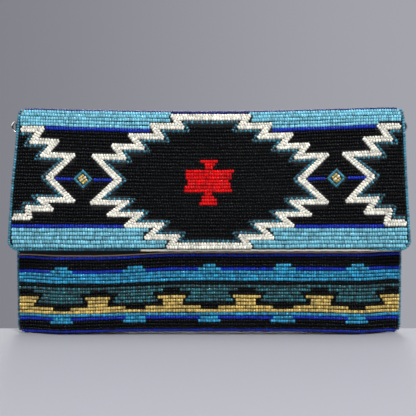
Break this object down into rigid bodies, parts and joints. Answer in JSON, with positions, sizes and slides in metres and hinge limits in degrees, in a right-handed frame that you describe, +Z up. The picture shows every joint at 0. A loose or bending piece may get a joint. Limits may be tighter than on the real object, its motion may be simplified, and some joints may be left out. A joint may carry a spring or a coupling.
{
  "type": "beaded fold-over clutch purse",
  "caption": "Flat rectangular clutch with a beaded flap folding over the mouth, padded walls, satin lining, magnetic snap and small strap rings at the side seams.",
  "frame": {"origin": "on the standing surface, below the middle of the closed purse's box", "axes": "+X along the width to the wearer's right as seen from the front, the front faces -Y, +Z up from the bottom to the fold"},
  "size_m": [0.2536, 0.0282, 0.143],
  "materials": {
    "black_beads": "glossy opaque seed beads",
    "blue_beads": "glossy seed beads, blue and teal bands",
    "light_blue_beads": "glossy light blue seed beads",
    "cream_beads": "pearly cream seed beads",
    "red_beads": "glossy red seed beads",
    "royal_blue_beads": "glossy royal blue seed beads",
    "turquoise_beads": "glossy turquoise seed beads",
    "teal_beads": "silver-lined dark teal seed beads",
    "gold_beads": "silver-lined gold seed beads",
    "satin": "dark satin weave",
    "lining": "dark satin lining",
    "buckram": "cream stiffened cotton weave",
    "tan_tape": "tan cotton tape",
    "thread": "dark beading thread",
    "steel": "nickel-plated steel",
    "magnet": "dark ferrite magnet"
  },
  "bodies": {
    "pouch": {"back_bead_panel": "black_beads", "front_bead_strip": "blue_beads", "front_satin_panel": "satin", "front_strip_binding": "tan_tape", "back_stiffener": "buckram", "front_stiffener": "buckram", "back_lining": "lining", "front_lining": "lining", "slip_pocket": "lining", "front_mouth_binding": "satin", "back_mouth_binding": "satin", "side_bead_trim_left": "turquoise_beads", "side_bead_trim_right": "turquoise_beads", "side_seam_tape_left": "tan_tape", "side_seam_tape_right": "tan_tape", "ring_tab_left": "satin", "ring_tab_right": "satin", "snap_socket_cap": "steel", "snap_magnet": "magnet", "snap_socket_base": "steel", "snap_socket_washer": "steel"},
    "fold": {"fold_bead_strip": "black_beads", "fold_lining": "lining"},
    "flap": {"flap_bead_panel": "black_beads", "flap_stiffener": "buckram", "flap_lining": "lining", "flap_edge_trim": "turquoise_beads", "snap_stud": "steel", "snap_stud_washer": "steel"},
    "ring_left": {"strap_ring_left": "steel"},
    "ring_right": {"strap_ring_right": "steel"}
  },
  "joints": [
    {"name": "flap_fold", "type": "hinge", "parent": "pouch", "child": "fold", "pos_m": [0, 0.00795, 0.14141], "axis": [-1, 0, 0], "range_deg": [0, 90]},
    {"name": "flap_front_fold", "type": "hinge", "parent": "fold", "child": "flap", "pos_m": [0, -0.00487, 0.14141], "axis": [-1, 0, 0], "range_deg": [0, 82]},
    {"name": "ring_left_swing", "type": "hinge", "parent": "pouch", "child": "ring_left", "pos_m": [-0.1214, 0.00314, 0.132], "axis": [0, 0, 1], "range_deg": [-75, 75]},
    {"name": "ring_right_swing", "type": "hinge", "parent": "pouch", "child": "ring_right", "pos_m": [0.1214, 0.00314, 0.132], "axis": [0, 0, 1], "range_deg": [-75, 75]}
  ],
  "couplings": [
    {"joint": "flap_front_fold", "follows": "flap_fold", "ratio": 0.911}
  ]
}
